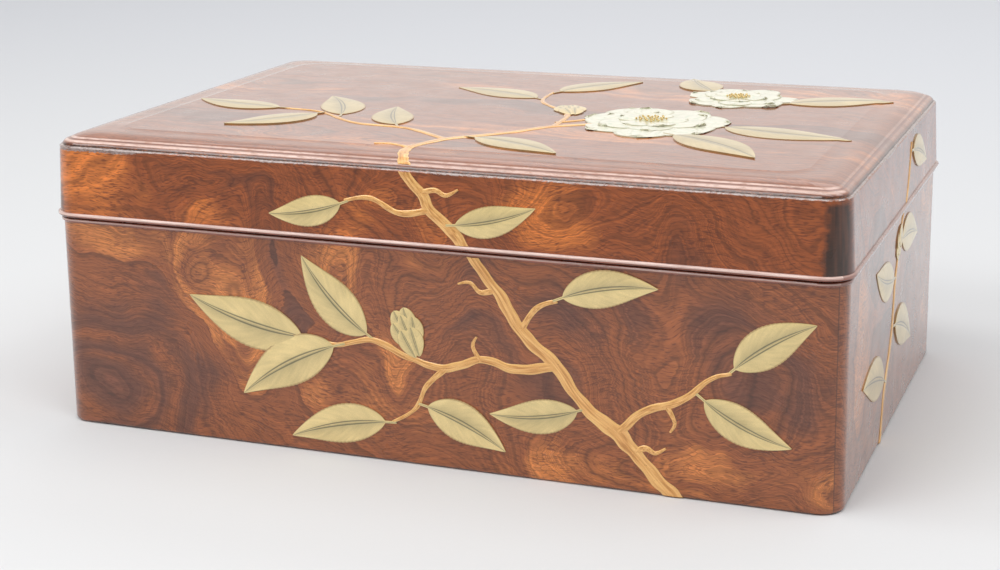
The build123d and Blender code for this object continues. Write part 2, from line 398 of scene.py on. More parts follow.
def worn_arris(g, mm, xyz, colour):
    """The lid's sharp edge, chipped to a pale line of uneven width, and the quirk over it darkened as painted
    shade.
    """
    wood = bpy.context.scene.tea_box_wood
    slow = g.stretched_noise(mm, (0.016, 0.016, 0), 2.0, 0.5)
    width = g.ramp(slow, [(0.40, 0.0), (0.52, 0.22), (0.66, 0.85)])
    width = g.times(width, 0.62)
    width = g.math("MAXIMUM", width, g.step(xyz[0], -END + 62, -END + 38))  # most at the left end
    chips = g.stretched_noise(mm, (0.55, 0.55, 1.8), 3.0, 0.75)
    depth = g.minus(ARRIS, xyz[2])  # mm under the edge
    reach = g.math("MULTIPLY_ADD", width, 1.9, g.times(g.minus(chips, 0.46), 2.8))
    gone = g.step(g.minus(reach, depth), -0.15, 0.15)
    worn = g.times(gone, g.step(depth, -0.3, -0.1))
    # The left and the back are handled less than the front and the right
    rested = g.times(g.step(xyz[1], -FRONT + 3, -FRONT + 22), g.step(xyz[0], END - 2, END - 12))
    worn = g.times(worn, g.math("MULTIPLY_ADD", rested, -0.8, 1.0))
    pale = g.ramp(chips, [(0.36, CHIP_SHADE), (0.48, wood.worn), (0.66, CHIP_LIGHT)])
    colour = g.mix(worn, colour, pale)
    # Painted shade: the groove just over the arris is darkened, broken where the chips are
    quirk = g.times(g.step(depth, -0.02, -0.12), g.step(depth, -1.7, -1.0))
    quirk = g.times(quirk, g.step(chips, 0.60, 0.50))
    return g.mix(g.times(quirk, 0.85), colour, bpy.context.scene.tea_box_lacquer.corner)


# Painted highlight and painted shade on the top board's edge, by the height over the arris in mm
PAINTED_HIGHLIGHT_LINES = [(1.0, 0.0), (1.55, 0.12), (1.9, 0.40), (2.25, 0.90), (2.65, 0.90), (2.9, 0.05), (3.25, 0.05),
                (3.4, 0.90), (3.8, 0.90), (4.0, 0.10), (4.7, 0.10), (5.7, 0.0)]
PAINTED_SHADE_LINES = [(0.9, 0.0), (1.05, 0.80), (1.5, 0.55), (1.9, 0.0), (2.75, 0.0), (2.95, 0.65), (3.2, 0.65),
                (3.35, 0.0), (3.9, 0.0), (4.1, 0.30), (4.7, 0.15), (5.4, 0.0)]


def by_height(g, rise, lines):
    """Reads a list of (height in mm, share) at a height over the arris."""
    return g.ramp(g.math("DIVIDE", rise, MOULDING), [(height / MOULDING, share) for height, share in lines])


def painted_moulding_light(g, mm, xyz, colour):
    """The cove and the roll of the lid's edge: painted highlights in pale bands along them, painted shade in
    darker bands between, strongest at the front.
    """
    wood = bpy.context.scene.tea_box_wood
    rise = g.minus(xyz[2], ARRIS)
    slow = g.stretched_noise(mm, (0.011, 0.011, 0), 2.0, 0.5)
    slow = g.ramp(slow, [(0.34, 0.65), (0.56, 1.0)])
    fine = g.stretched_noise(mm, (0.20, 0.20, 0.9), 3.0, 0.65)
    patchy = g.times(slow, g.ramp(fine, [(0.34, 0.55), (0.54, 1.0)]))
    at_front = g.step(xyz[1], -FRONT + 12, -FRONT + 6)  # the painted highlights are strongest here
    highlight_by_side = g.math("MULTIPLY_ADD", at_front, 0.7, 0.3)
    patchy = g.times(patchy, highlight_by_side)
    # Painted shade: darker bands of bead lacquer between the highlights
    colour = g.mix(by_height(g, rise, PAINTED_SHADE_LINES), colour, bpy.context.scene.tea_box_lacquer.bead)
    # Painted highlight: pale bands, patchy along the edge
    return g.mix(g.times(by_height(g, rise, PAINTED_HIGHLIGHT_LINES), patchy), colour, wood.painted_light_and_wear)


PAINTED_CORNER_REFLECTION = (0.085, 0.034, 0.020, 1)
CORNER_RED = (0.120, 0.034, 0.020, 1)


def corner_lacquer(g, mm, xyz, colour):
    """Dark lacquer on the lid's rounded corners, with lighter brown streaks up them as a painted reflection,
    and the thin line of each mitre.
    """
    lacquer = bpy.context.scene.tea_box_lacquer
    across, deep = g.math("ABSOLUTE", xyz[0]), g.math("ABSOLUTE", xyz[1])
    ragged = g.times(g.minus(g.noise(mm, 0.22, 3.0), 0.5), 5.0)
    past = g.math("ADD", g.minus(across, END), g.minus(deep, FRONT))
    past = g.math("ADD", past, ragged)
    narrow = g.times(g.step(xyz[0], -END + 60, -END + 20), 3.6)
    past = g.minus(past, narrow)  # the left corners are covered less
    # Painted reflection: lighter brown streaks running up the rounded corners
    streak = g.stretched_noise(mm, (0.42, 0.42, 0.03), 1.0)
    dark = g.mix(g.step(streak, 0.44, 0.66), lacquer.corner, PAINTED_CORNER_REFLECTION)
    outer = g.times(g.step(across, END - 1.2, END + 0.4), 0.8)
    dark = g.mix(outer, dark, CORNER_RED)
    corner = g.times(g.step(past, -10.6, -7.6), g.step(xyz[2], SEAM + 0.4, SEAM + 1.4))
    corner = g.times(corner, g.step(xyz[2], ARRIS - 0.8, ARRIS - 3.6))
    colour = g.mix(g.times(corner, 0.94), colour, dark)
    shade = g.times(g.step(past, -8.0, -2.0), 0.25)
    colour = g.mix(shade, colour, g.mix(0.5, colour, lacquer.corner))
    off = g.minus(g.minus(across, END), g.minus(deep, FRONT))
    off = g.math("ABSOLUTE", off)
    open_joint = g.ramp(g.step(xyz[2], BASE_BEAD_LOW, BASE_BEAD_LOW + 1), [(0.0, 0.50), (1.0, 0.20)])
    mitre = g.times(g.step(off, 0.62, 0.25), open_joint)
    return g.mix(mitre, colour, lacquer.corner)


def strewn_ground(g, mm):
    """Amber lacquer with gold flakes in it: its colour, and where the flakes are."""
    lacquer = bpy.context.scene.tea_box_lacquer
    flakes = g.node("ShaderNodeTexVoronoi", {"Vector": mm, "Scale": 1.15, "Randomness": 1.0})
    size = g.separate(flakes.outputs["Color"])[0]
    flake = g.times(g.step(flakes.outputs["Distance"], 0.40, 0.30), g.step(size, 0.36, 0.46))
    cloud = g.noise(mm, 0.02, 3.0)
    darker = tinted(lacquer.ground, (0.6, 0.6, 0.6))
    ground = g.ramp(cloud, [(0.35, darker), (0.65, lacquer.ground)])
    return g.mix(flake, ground, lacquer.flake), flake


def inner_ground(g, mm, xyz, colour):
    """Lays the strewn lacquer on what faces the inside of the box."""
    along = g.minus(g.math("ABSOLUTE", xyz[0]), END - WALL + 0.7)
    deep = g.minus(g.math("ABSOLUTE", xyz[1]), FRONT - WALL + 0.7)
    outside = g.math("MAXIMUM", along, deep)
    inside = g.times(g.step(outside, 0.2, 0.0), g.step(xyz[2], ARRIS - 1.0, ARRIS - 1.6))
    return g.mix(inside, colour, strewn_ground(g, mm)[0])


def figured_wood(name, axes, swells, slope, seed):
    """Figured, lacquered wood on a face. axes are the coordinates (0, 1, 2) that run across and up it."""
    material, g = new_material(name)
    mm = g.millimetres()
    xyz = g.separate(mm)
    colour, pores = wood_figure(g, g.combine(xyz[axes[0]], xyz[axes[1]]), swells, slope, seed)
    over_seam = g.step(xyz[2], SEAM - 0.5, SEAM + 0.5)
    under_arris = g.step(xyz[2], ARRIS + 0.5, ARRIS - 0.5)
    colour = g.mix(g.times(over_seam, under_arris), colour, LID_TINT, "MULTIPLY")
    colour = corner_lacquer(g, mm, xyz, colour)
    colour = worn_arris(g, mm, xyz, colour)
    # Painted highlights and painted shade on the lid's moulded edge
    colour = painted_moulding_light(g, mm, xyz, colour)
    colour = inner_ground(g, mm, xyz, colour)
    film = g.bump(g.noise(mm, 0.16, 2.0), 0.10, 0.0005)
    grain = g.bump(g.times(pores, -1.0), 0.04, 0.00005, film)
    haze = g.noise(mm, 0.06, 3.0)
    g.surface(colour, g.ramp(haze, [(0.3, 0.26), (0.7, 0.38)]), grain, specular_ior_level=0.25,
              coat_weight=1.0, coat_roughness=0.07, coat_ior=1.5)
    return material


# ---------------------------------------------------------------- lacquer
WORN_LACQUER = (0.26, 0.13, 0.085, 1)


def brown_lacquer(name, tint, painted_highlight_zone=None, painted_light_and_wear=0.0):
    """Glossy lacquer, worn along its length. The optional zone is (low, high), the heights in mm of a painted
    highlight: a pale line, as strong as the last argument.
    """
    material, g = new_material(name)
    mm = g.millimetres()
    streak = g.stretched_noise(mm, (0.05, 0.05, 1.1), 3.0, 0.6)
    worn = g.noise(mm, 0.12, 4.0, 0.65)
    light = tinted(tint, (2.1, 2.1, 2.1))
    colour = g.ramp(streak, [(0.35, tint), (0.65, light)])
    colour = g.mix(g.step(worn, 0.60, 0.70), colour, WORN_LACQUER)
    if painted_highlight_zone:
        # Painted highlight: a pale line along the bead's crest
        low, high = painted_highlight_zone
        height = g.separate(mm)[2]
        line = g.times(g.step(height, low, low + 0.4), g.step(height, high, high - 0.3))
        uneven = g.stretched_noise(mm, (0.03, 0.03, 0.9), 3.0, 0.6)
        uneven = g.ramp(uneven, [(0.38, 0.55 * painted_light_and_wear), (0.58, painted_light_and_wear)])
        colour = g.mix(g.times(line, uneven), colour, bpy.context.scene.tea_box_wood.painted_light_and_wear)
    film = g.bump(g.noise(mm, 0.5, 2.0), 0.12, 0.0003)
    g.surface(colour, g.ramp(worn, [(0.3, 0.22), (0.7, 0.38)]), film, specular_ior_level=0.3,
              coat_weight=1.0, coat_roughness=0.06, coat_ior=1.55)
    return material


def strewn_lacquer(name):
    """Amber lacquer strewn with gold flakes."""
    material, g = new_material(name)
    mm = g.millimetres()
    colour, flake = strewn_ground(g, mm)
    film = g.bump(g.noise(mm, 0.2, 2.0), 0.10, 0.0005)
    g.surface(colour, g.ramp(flake, [(0.0, 0.30), (1.0, 0.42)]), film, specular_ior_level=0.3,
              coat_weight=1.0, coat_roughness=0.06, coat_ior=1.5)
    return material


def plain_wood(name, light, dark, seed):
    """Straight-grained wood with a thin film of lacquer, grain along X."""
    material, g = new_material(name)
    mm = g.vector("ADD", g.millimetres(), (seed, 0, 0))
    wave = g.scaled(g.noise(mm, 0.02, 2.0, 0.5, "Color"), 14)
    grain = g.stretched_noise(g.vector("ADD", mm, wave), (0.012, 0.22, 0.22), 3.0, 0.6)
    pores = g.stretched_noise(mm, (0.12, 2.6, 2.6), 1.0)
    colour = g.ramp(grain, [(0.35, dark), (0.62, light)])
    colour = g.mix(g.times(g.step(pores, 0.56, 0.70), 0.6), colour, dark)
    g.surface(colour, g.ramp(grain, [(0.3, 0.42), (0.7, 0.55)]), g.bump(pores, 0.2, 0.0002),
              coat_weight=0.2, coat_roughness=0.3)
    return material


# ---------------------------------------------------------------- raised decoration: materials
UNDER_LEAF = (0.24, 0.12, 0.05, 1)  # what shows where the gold is worn through
UNDER_BRANCH = (0.24, 0.09, 0.03, 1)
PETAL_CREAM = (0.84, 0.82, 0.70, 1)
PETAL_LINE = (0.52, 0.50, 0.32, 1)
PETAL_HEART = (0.56, 0.53, 0.28, 1)
PETAL_RIM = (0.42, 0.39, 0.23, 1)
STAMEN_SHADE = (0.55, 0.33, 0.10, 1)
STAMEN_LIGHT = (0.80, 0.64, 0.28, 1)


def out_from_middle(g, uv):
    """0 along the middle of a leaf, branch or petal, and 1 at its rims."""
    return g.times(g.math("ABSOLUTE", g.minus(uv[1], 0.5)), 2.0)


def leaf_gold(name, painted_light_and_wear=0.0):
    """Greenish gold on a leaf. The last argument, from 0 to 1, darkens the gold as painted shade and wears
    more of it through. Its UV map runs along the leaf and across it.
    """
    spray = bpy.context.scene.tea_box_spray
    # Painted shade: the gold is made up to 22 percent darker, for the leaves on the lid's top, which is more
    # strongly lit
    full = tinted(spray.leaf, (1 - 0.22 * painted_light_and_wear,) * 3)
    material, g = new_material(name)
    uv = g.along_and_across()
    mm = g.millimetres()
    out = out_from_middle(g, uv)
    powder = g.noise(mm, 2.6, 2.0, 0.7)
    shade = tinted(full, (0.60, 0.62, 0.66))
    glow = tinted(full, (1.18, 1.18, 1.18))
    # Each half is brushed from dusk at the midrib to full gold, one half deeper than the other
    half = g.step(uv[1], 0.49, 0.51)
    reach = g.math("MULTIPLY_ADD", half, 0.45, 0.35)
    dusk = g.math("SUBTRACT", 1.0, g.math("DIVIDE", out, reach), clamp=True)
    dusk = g.times(g.math("POWER", dusk, 1.4), g.math("MULTIPLY_ADD", half, 0.40, 0.35))
    cloud = g.noise(mm, 0.045, 1.0)
    colour = g.ramp(cloud, [(0.36, full), (0.66, glow)])
    colour = g.mix(dusk, colour, shade)
    slant = g.math("MULTIPLY_ADD", out, -2.5, g.times(uv[0], 9.0))
    brush = g.noise(g.combine(slant, out), 1.6, 2.0)
    colour = g.mix(0.35, colour, g.ramp(brush, [(0.34, 0.78), (0.64, 1.14)]), "MULTIPLY")
    lines = g.math("ABSOLUTE", g.minus(out, 0.080))
    colour = g.mix(g.times(g.step(lines, 0.052, 0.016), 0.85), colour, spray.vein)
    rim = g.times(g.step(out, 0.90, 0.975), 0.75)
    colour = g.mix(rim, colour, g.mix(0.45, spray.vein, spray.branch))
    colour = g.mix(0.20, colour, g.ramp(powder, [(0.3, 0.55), (0.7, 1.3)]), "MULTIPLY")
    worn = g.step(g.noise(mm, 0.7, 3.0, 0.7), 0.69 - 0.05 * painted_light_and_wear, 0.75)
    colour = g.mix(g.times(worn, 0.5), colour, UNDER_LEAF)
    g.surface(colour, g.ramp(powder, [(0.3, 0.36), (0.7, 0.50)]), g.bump(powder, 0.10, 0.0001),
              metallic=0.15, specular_ior_level=0.15, coat_weight=1.0, coat_roughness=0.10)
    return material


def branch_gold(name):
    """Orange gold on a branch, with lighter outlines and lines along it."""
    spray = bpy.context.scene.tea_box_spray
    material, g = new_material(name)
    uv = g.along_and_across()
    mm = g.millimetres()
    out = out_from_middle(g, uv)
    bark = g.noise(g.combine(g.times(uv[0], 9.0), g.times(uv[1], 5.0)), 1.0, 3.0, 0.6)
    dark = tinted(spray.branch, (0.72, 0.62, 0.55))
    light = tinted(spray.branch, (1.22, 1.45, 1.7))
    colour = g.ramp(bark, [(0.34, dark), (0.48, spray.branch), (0.64, light)])
    colour = g.mix(g.times(g.step(out, 0.60, 0.85), 0.6), colour, light)
    powder = g.noise(mm, 2.4, 2.0, 0.7)
    colour = g.mix(0.25, colour, g.ramp(powder, [(0.3, 0.6), (0.7, 1.25)]), "MULTIPLY")
    worn = g.step(g.noise(mm, 0.9, 3.0, 0.7), 0.66, 0.72)
    colour = g.mix(g.times(worn, 0.6), colour, UNDER_BRANCH)
    g.surface(colour, g.ramp(powder, [(0.3, 0.34), (0.7, 0.48)]), g.bump(bark, 0.25, 0.0002),
              metallic=0.2, specular_ior_level=0.15, coat_weight=1.0, coat_roughness=0.10)
    return material


def petal_white(name):
    """Shell white with faint green and rose, and fine lines that fan out over the petal."""
    spray = bpy.context.scene.tea_box_spray
    material, g = new_material(name)
    uv = g.along_and_across()
    mm = g.millimetres()
    cloud = g.noise(mm, 0.35, 3.0, 0.6)
    green = tinted(spray.petal, (0.80, 0.90, 0.86))
    colour = g.ramp(cloud, [(0.36, green), (0.5, spray.petal), (0.68, PETAL_CREAM)])
    fan = g.noise(g.combine(g.times(uv[0], 1.2), g.times(uv[1], 17.0)), 1.0, 2.0)
    colour = g.mix(g.times(g.step(fan, 0.50, 0.64), 0.38), colour, PETAL_LINE)
    colour = g.mix(g.step(uv[0], 0.55, 0.15), colour, PETAL_HEART)  # deeper towards the heart
    out = out_from_middle(g, uv)
    rim = g.math("MAXIMUM", g.step(out, 0.86, 0.97), g.step(uv[0], 0.955, 0.985))
    colour = g.mix(g.times(rim, 0.60), colour, PETAL_RIM)
    g.surface(colour, g.ramp(cloud, [(0.3, 0.28), (0.7, 0.42)]), g.bump(fan, 0.2, 0.0002),
              specular_ior_level=0.3, coat_weight=0.6, coat_roughness=0.12)
    return material


def stamen_gold(name):
    """Pale gold on the stamens, redder in patches of noise."""
    material, g = new_material(name)
    mm = g.millimetres()
    powder = g.noise(mm, 1.4, 2.0, 0.6)
    colour = g.ramp(powder, [(0.34, STAMEN_SHADE), (0.60, STAMEN_LIGHT)])
    g.surface(colour, g.ramp(powder, [(0.3, 0.34), (0.7, 0.46)]), g.bump(powder, 0.2, 0.0001),
              metallic=0.2, coat_weight=0.4, coat_roughness=0.14)
    return material


# ---------------------------------------------------------------- raised decoration: shapes
def lid_tree():
    """The lid's top board, for finding the height of its moulded edge."""
    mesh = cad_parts["lid_top"].data
    places = [vertex.co.copy() for vertex in mesh.vertices]
    return BVHTree.FromPolygons(places, [tuple(polygon.vertices) for polygon in mesh.polygons])


TOP_TREE = lid_tree()
TOP_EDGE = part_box("lid_top")[0].y / MM + 0.2


def lean(up):
    """How far the lid's boards stand out past the lower ones at a height, in mm."""
    return FLARE * (ARRIS - up) / (ARRIS - SEAM)


# Each face turns a spot on it, and a lift off it, all in mm, into a place in metres
def on_base_front(across, up, lift):
    return Vector((across, -FRONT - lift, up)) * MM


def on_lid_front(across, up, lift):
    return Vector((across, -FRONT - lean(up) - lift, up)) * MM


def on_base_right(across, up, lift):
    return Vector((END + lift, across, up)) * MM


def on_lid_right(across, up, lift):
    return Vector((END + lean(up) + lift, across, up)) * MM


def on_top(across, deep, lift):
    above = Vector((across * MM, max(deep, TOP_EDGE) * MM, 2 * TOP * MM))
    place, normal, _, _ = TOP_TREE.ray_cast(above, Vector((0, 0, -1)))
    if place is None:
        raise RuntimeError(f"the decoration runs off the lid's top at {across:.1f}, {deep:.1f}")
    if normal.z < 0:
        normal = -normal
    place = place + normal * lift * MM
    place.y = min(place.y, deep * MM) if deep < TOP_EDGE else place.y
    return place


# What the decoration on each face moves with
BODIES = {
    on_base_front: "base",
    on_base_right: "base",
    on_lid_front: "lid",
    on_lid_right: "lid",
    on_top: "lid",
}

# The planes that end the decoration on each face: (a place on the plane in mm, the way off the face)
DOWN = (0, 0, -1)
UP = (0, 0, 1)
BASE_EDGES = [((0, 0, 0.4), DOWN), ((0, 0, BASE_BEAD_LOW - 0.15), UP)]
LID_EDGES = [((0, 0, LID_BEAD_HIGH + 0.15), DOWN), ((0, 0, ARRIS - 0.7), UP)]
EDGES = {
    on_base_front: BASE_EDGES,
    on_base_right: BASE_EDGES,
    on_lid_front: LID_EDGES,
    on_lid_right: LID_EDGES,
    on_top: [((0, TOP_EDGE + 1.0, 0), (0, -1, 0))],
}

SKIN = 0.7  # mm of thickness, most of it under the surface


def deselect():
    for thing in bpy.context.selected_objects:
        thing.select_set(False)


def raised_sheet(name, face, columns, rows, place):
    """A closed low relief. place(along, across) gives each point, with along 0 to 1 and across -1 to 1."""
    deselect()
    bpy.ops.mesh.primitive_grid_add(x_subdivisions=columns, y_subdivisions=rows, size=2)
    piece = bpy.context.object
    piece.name = name
    for vertex in piece.data.vertices:
        vertex.co = place((vertex.co.x + 1) / 2, vertex.co.y)
    bpy.ops.object.mode_set(mode="EDIT")
    bpy.ops.mesh.select_all(action="SELECT")
    bpy.ops.mesh.remove_doubles(threshold=0.00001)
    for spot, way_off in EDGES[face]:
        bpy.ops.mesh.select_all(action="SELECT")
        bpy.ops.mesh.bisect(plane_co=Vector(spot) * MM, plane_no=way_off, clear_outer=True)
    bpy.ops.object.mode_set(mode="OBJECT")
    solid = piece.modifiers.new("Skin", "SOLIDIFY")
    solid.thickness = SKIN * MM
    solid.offset = -1
    bpy.ops.object.modifier_apply(modifier=solid.name)
    bpy.ops.object.shade_smooth_by_angle(angle=math.radians(50))
    return piece


def joined(name, pieces):
    deselect()
    for piece in pieces:
        piece.select_set(True)
    bpy.context.view_layer.objects.active = pieces[0]
    bpy.ops.object.join()
    pieces[0].name = name
    return pieces[0]


def finish_piece(piece, body, material):
    piece.data.materials.clear()
    piece.data.materials.append(material)
    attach(piece, body)


RIM = 0.12  # mm that the rim of a leaf or a petal stands over the wood
BRANCH_RIM = 0.10
STALK = 0.10  # share of a leaf's length
STALK_HALF = 0.65  # mm, half of its width
TEETH = 24  # along each side of a leaf
LEAF_GRID = (130, 14)  # faces along and across
PETAL_GRID = (26, 12)
BRANCH_ROWS = 8
BRANCH_FACE = 0.9  # mm along a branch
KNOB_PITCHES = (1.7, 2.9, 5.3, 8.9)  # mm, the waves that make a branch's edges knobbly


def leaf(name, face, root, tip, width, bend, lift):
    """A pointed, finely toothed leaf on a short stalk. bend bows its midrib, as a share of its length."""
    rise = bpy.context.scene.tea_box_spray.relief
    root, tip = Vector(root), Vector(tip)
    chord = tip - root
    side = Vector((-chord.y, chord.x))
    middle = (root + tip) / 2 + side * bend

    def place(along, across):
        rib = root * (1 - along) ** 2 + middle * 2 * along * (1 - along) + tip * along**2
        ahead = (middle - root) * (1 - along) + (tip - middle) * along
        normal = Vector((-ahead.y, ahead.x)).normalized()
        blade = max(0.0, (along - STALK) / (1 - STALK))
        teeth = 1 + 0.030 * ((blade * TEETH) % 1.0) * math.sin(math.pi * blade)
        # Fullest before the middle, and drawn out to the tip
        half = width / 2 * math.sin(math.pi * blade**0.80) ** 0.80 * (1 - 0.30 * blade**3) * teeth
        half = max(half, STALK_HALF * (1 - blade))
        spot = rib + normal * half * across
        crown = (1 - across * across) * min(1.0, 2 * half / width + 0.2)
        groove = 0.35 * math.exp(-((across / 0.10) ** 2))
        return face(spot.x, spot.y, lift + RIM + rise * (0.75 * crown - groove * crown))

    return raised_sheet(name, face, *LEAF_GRID, place)


def through(points, along):
    """A place on a smooth curve through the points, each (across, up, half width). Catmull-Rom."""
    spans = len(points) - 1
    span = min(int(along * spans), spans - 1)
    t = along * spans - span
    p0 = Vector(points[max(span - 1, 0)])
    p1, p2 = Vector(points[span]), Vector(points[span + 1])
    p3 = Vector(points[min(span + 2, spans)])
    square = (2 * p0 - 5 * p1 + 4 * p2 - p3) * t * t
    cube = (3 * p1 - p0 - 3 * p2 + p3) * t**3
    return 0.5 * (2 * p1 + (p2 - p0) * t + square + cube)


def branch(name, face, points, seed, knobs=0.30):
    """A knobbly strip through the points, each (across, up, half width)."""
    rng = random.Random(seed)
    phases = [rng.uniform(0, 2 * math.pi) for _ in range(8)]
    rise = bpy.context.scene.tea_box_spray.relief
    length = sum((Vector(a[:2]) - Vector(b[:2])).length for a, b in zip(points, points[1:]))
    columns = max(12, int(length / BRANCH_FACE))

    def place(along, across):
        here = through(points, along)
        ahead = through(points, min(1.0, along + 0.004)) - through(points, max(0.0, along - 0.004))
        normal = Vector((-ahead.y, ahead.x)).normalized()
        run = along * length
        edge = phases[0:4] if across > 0 else phases[4:8]
        bumps = sum(math.sin(run / pitch + phase) for pitch, phase in zip(KNOB_PITCHES, edge)) / 4
        half = here.z * (1 + knobs * bumps)
        spot = Vector(here[:2]) + normal * half * across
        return face(spot.x, spot.y, BRANCH_RIM + rise * 0.8 * math.sqrt(max(0.0, 1 - across * across)))

    return raised_sheet(name, face, columns, BRANCH_ROWS, place)


def scale_or_petal(name, face, root, tip, width, lift, blunt, notch=0.0, ruffle=0.0):
    """A rounded petal or bud scale. blunt moves its widest place towards the tip, ruffle waves its rim."""
    rise = bpy.context.scene.tea_box_spray.relief
    root, tip = Vector(root), Vector(tip)
    chord = tip - root
    side = Vector((-chord.y, chord.x)).normalized()

    def place(along, across):
        half = width / 2 * math.sin(math.pi * along**blunt) ** 0.55
        reach = along * (1 - notch * math.exp(-((across / 0.3) ** 2)) * along**6)
        if ruffle:
            half *= 1 + 0.10 * math.sin(9 * along + ruffle)
            reach *= 1 + 0.030 * along**3 * math.sin(6.5 * across + 2.1 * ruffle)
        spot = root + chord * reach + side * half * across
        crown = (1 - across * across) * math.sin(math.pi * min(1.0, along * 0.92 + 0.04)) ** 0.5
        crown += 0.16 * math.sin(7 * across + ruffle) * along if ruffle else 0.0
        return face(spot.x, spot.y, lift * (0.35 + 0.65 * along) + RIM + rise * 0.8 * crown)

    return raised_sheet(name, face, *PETAL_GRID, place)


# The rows of a bud's scales: (foot and top as shares of the bud's length, scales)
BUD_ROWS = [(0.36, 1.0, 2), (0.18, 0.84, 3), (0.0, 0.62, 2)]
BUD_BLUNT = 1.25


def bud(name, face, foot, top, width):
    """A plump bud of overlapping scales."""
    foot, top = Vector(foot), Vector(top)
    up = top - foot
    side = Vector((-up.y, up.x)).normalized() * width
    pieces = []
    for row, (low, high, count) in enumerate(BUD_ROWS):
        for n in range(count):
            shift = (n - (count - 1) / 2) * 0.36
            root = foot + up * low + side * shift * 0.4
            tip = foot + up * (high - 0.25 * abs(shift)) + side * shift
            lift = 0.25 + 0.3 * row
            pieces.append(scale_or_petal(f"{name}_scale", face, root, tip, width * 0.62, lift, BUD_BLUNT))
    return joined(name, pieces)


# The rings of petals: (reach as a share of the blossom's radius, petals, lift in mm)
PETAL_RINGS = [(1.0, 7, 0.30), (0.76, 6, 0.85), (0.50, 5, 1.35)]
PETAL_BLUNT = 1.9
HEART = 0.20  # the stamens' share of the blossom's radius
STAMENS = 26
STAMEN_RADIUS = 0.62  # mm
STAMEN_LIFT = 2.1  # mm
GOLDEN_ANGLE = 2.39996  # spreads the stamens evenly over the heart


def blossom(name, face, centre, radius, turn):
    """A full blossom of three rings of uneven petals. Returns its petals and its stamens."""
    rng = random.Random(name)
    centre = Vector(centre)
    petals = []
    for ring, (reach, count, lift) in enumerate(PETAL_RINGS):
        for n in range(count):
            angle = turn + (n + 0.5 * ring + rng.uniform(-0.14, 0.14)) * 2 * math.pi / count
            way = Vector((math.cos(angle), math.sin(angle)))
            length = radius * reach * rng.uniform(0.88, 1.06)
            width = radius * reach * rng.uniform(0.62, 0.86)
            tip = centre + way * length
            notch, ruffle = rng.uniform(0.04, 0.14), rng.uniform(0, 6)
            height = lift + 0.16 * (n % 2)
            root = centre - way * 0.5
            petals.append(scale_or_petal(
                f"{name}_petal", face, root, tip, width, height, PETAL_BLUNT, notch, ruffle))
    heart = []
    for n in range(STAMENS):
        angle = n * GOLDEN_ANGLE
        spread = radius * HEART * math.sqrt((n + 0.5) / STAMENS)
        spot = centre + Vector((math.cos(angle), math.sin(angle))) * spread
        deselect()
        place = face(spot.x, spot.y, STAMEN_LIFT)
        bpy.ops.mesh.primitive_ico_sphere_add(subdivisions=2, radius=STAMEN_RADIUS * MM, location=place)
        bpy.ops.object.transform_apply(location=True, rotation=True, scale=True)
        heart.append(bpy.context.object)
    return joined(name, petals), joined(f"{name}_stamens", heart)


# ---------------------------------------------------------------- where the spray grows
# Branches: (name, face, [(across, up, half width), ...])
BRANCHES = [
    ("branch_base_main", on_base_front,
     [(130, -8, 3.9), (122, 1.5, 3.8), (108, 16, 3.4), (96, 28, 3.7), (80, 40, 3.1), (66, 58, 3.3),
      (50, 72, 2.8), (40, 88, 2.9), (27, 104, 2.7), (22, 111, 2.7)]),
    ("branch_base_left", on_base_front,
     [(66, 57, 2.6), (48, 53, 2.2), (30, 56, 2.0), (12, 50, 1.9), (-6, 53, 1.6), (-26, 60, 1.5),
      (-44, 56, 1.2), (-58, 58, 0.9)]),
    ("branch_base_left_fork", on_base_front,
     [(12, 50, 1.4), (2, 40, 1.2), (-4, 28, 1.1), (-16, 20, 0.8)]),
    ("branch_base_right", on_base_front,
     [(97, 28, 2.2), (110, 40, 1.9), (126, 46, 1.6), (140, 58, 1.2), (150, 62, 0.9)]),
    ("branch_base_spur", on_base_front, [(50, 72, 1.6), (58, 84, 1.3), (68, 88, 0.9)]),
    ("branch_base_spur_low", on_base_front,
     [(104, 19, 1.7), (110, 22, 1.3), (115, 20, 1.0), (120, 23, 0.5)]),
    ("branch_base_spur_high", on_base_front,
     [(36, 90, 1.6), (30, 89, 1.2), (25, 93, 0.9), (19, 92, 0.5)]),
    ("branch_base_spur_left", on_base_front, [(30, 55, 1.3), (26, 62, 1.0), (28, 67, 0.5)]),
    ("branch_base_spur_right", on_base_front, [(120, 44, 1.2), (124, 36, 0.9), (122, 31, 0.5)]),
    ("branch_lid_spur", on_lid_front, [(0, 134, 1.6), (8, 136, 1.2), (14, 134, 0.9), (20, 137, 0.5)]),
    ("branch_top_spur", on_top, [(-13, -110, 1.5), (-26, -104, 1.1), (-34, -106, 0.5)]),
    ("branch_top_spur_far", on_top, [(32, -30, 1.1), (44, -18, 0.8), (46, -8, 0.5)]),
    ("branch_lid_main", on_lid_front,
     [(26, 105, 2.7), (22, 111.4, 2.7), (16, 118, 2.9), (6, 126, 2.7), (1, 134, 2.8), (-6, 142, 2.6),
      (-8, 148, 2.6)]),
    ("branch_lid_twig", on_lid_front,
     [(6, 126, 1.7), (-10, 124, 1.4), (-24, 130, 1.2), (-38, 128, 0.8)]),
    ("branch_top_main", on_top,
     [(-7, -136, 2.6), (-8, -130, 2.6), (-12, -122, 2.6), (-14, -108, 2.6), (-4, -84, 2.4), (18, -62, 2.3),
      (34, -40, 2.1), (60, -24, 2.0)]),
    ("branch_top_left", on_top,
     [(-5, -86, 1.8), (-34, -66, 1.6), (-66, -60, 1.4), (-96, -38, 1.0), (-118, -34, 0.7)]),
    ("branch_top_far", on_top, [(34, -40, 1.7), (30, -6, 1.4), (6, 24, 1.2), (2, 52, 0.8)]),
    ("branch_right_main", on_base_right,
     [(-34, -6, 2.8), (-30, 1.5, 2.8), (-22, 24, 2.6), (-6, 48, 2.3), (2, 78, 2.0), (18, 103, 1.8),
      (21, 110, 1.8)]),
    ("branch_right_lid", on_lid_right,
     [(16, 106, 1.7), (20, 112, 1.7), (30, 126, 1.4), (36, 138, 0.9)]),
]
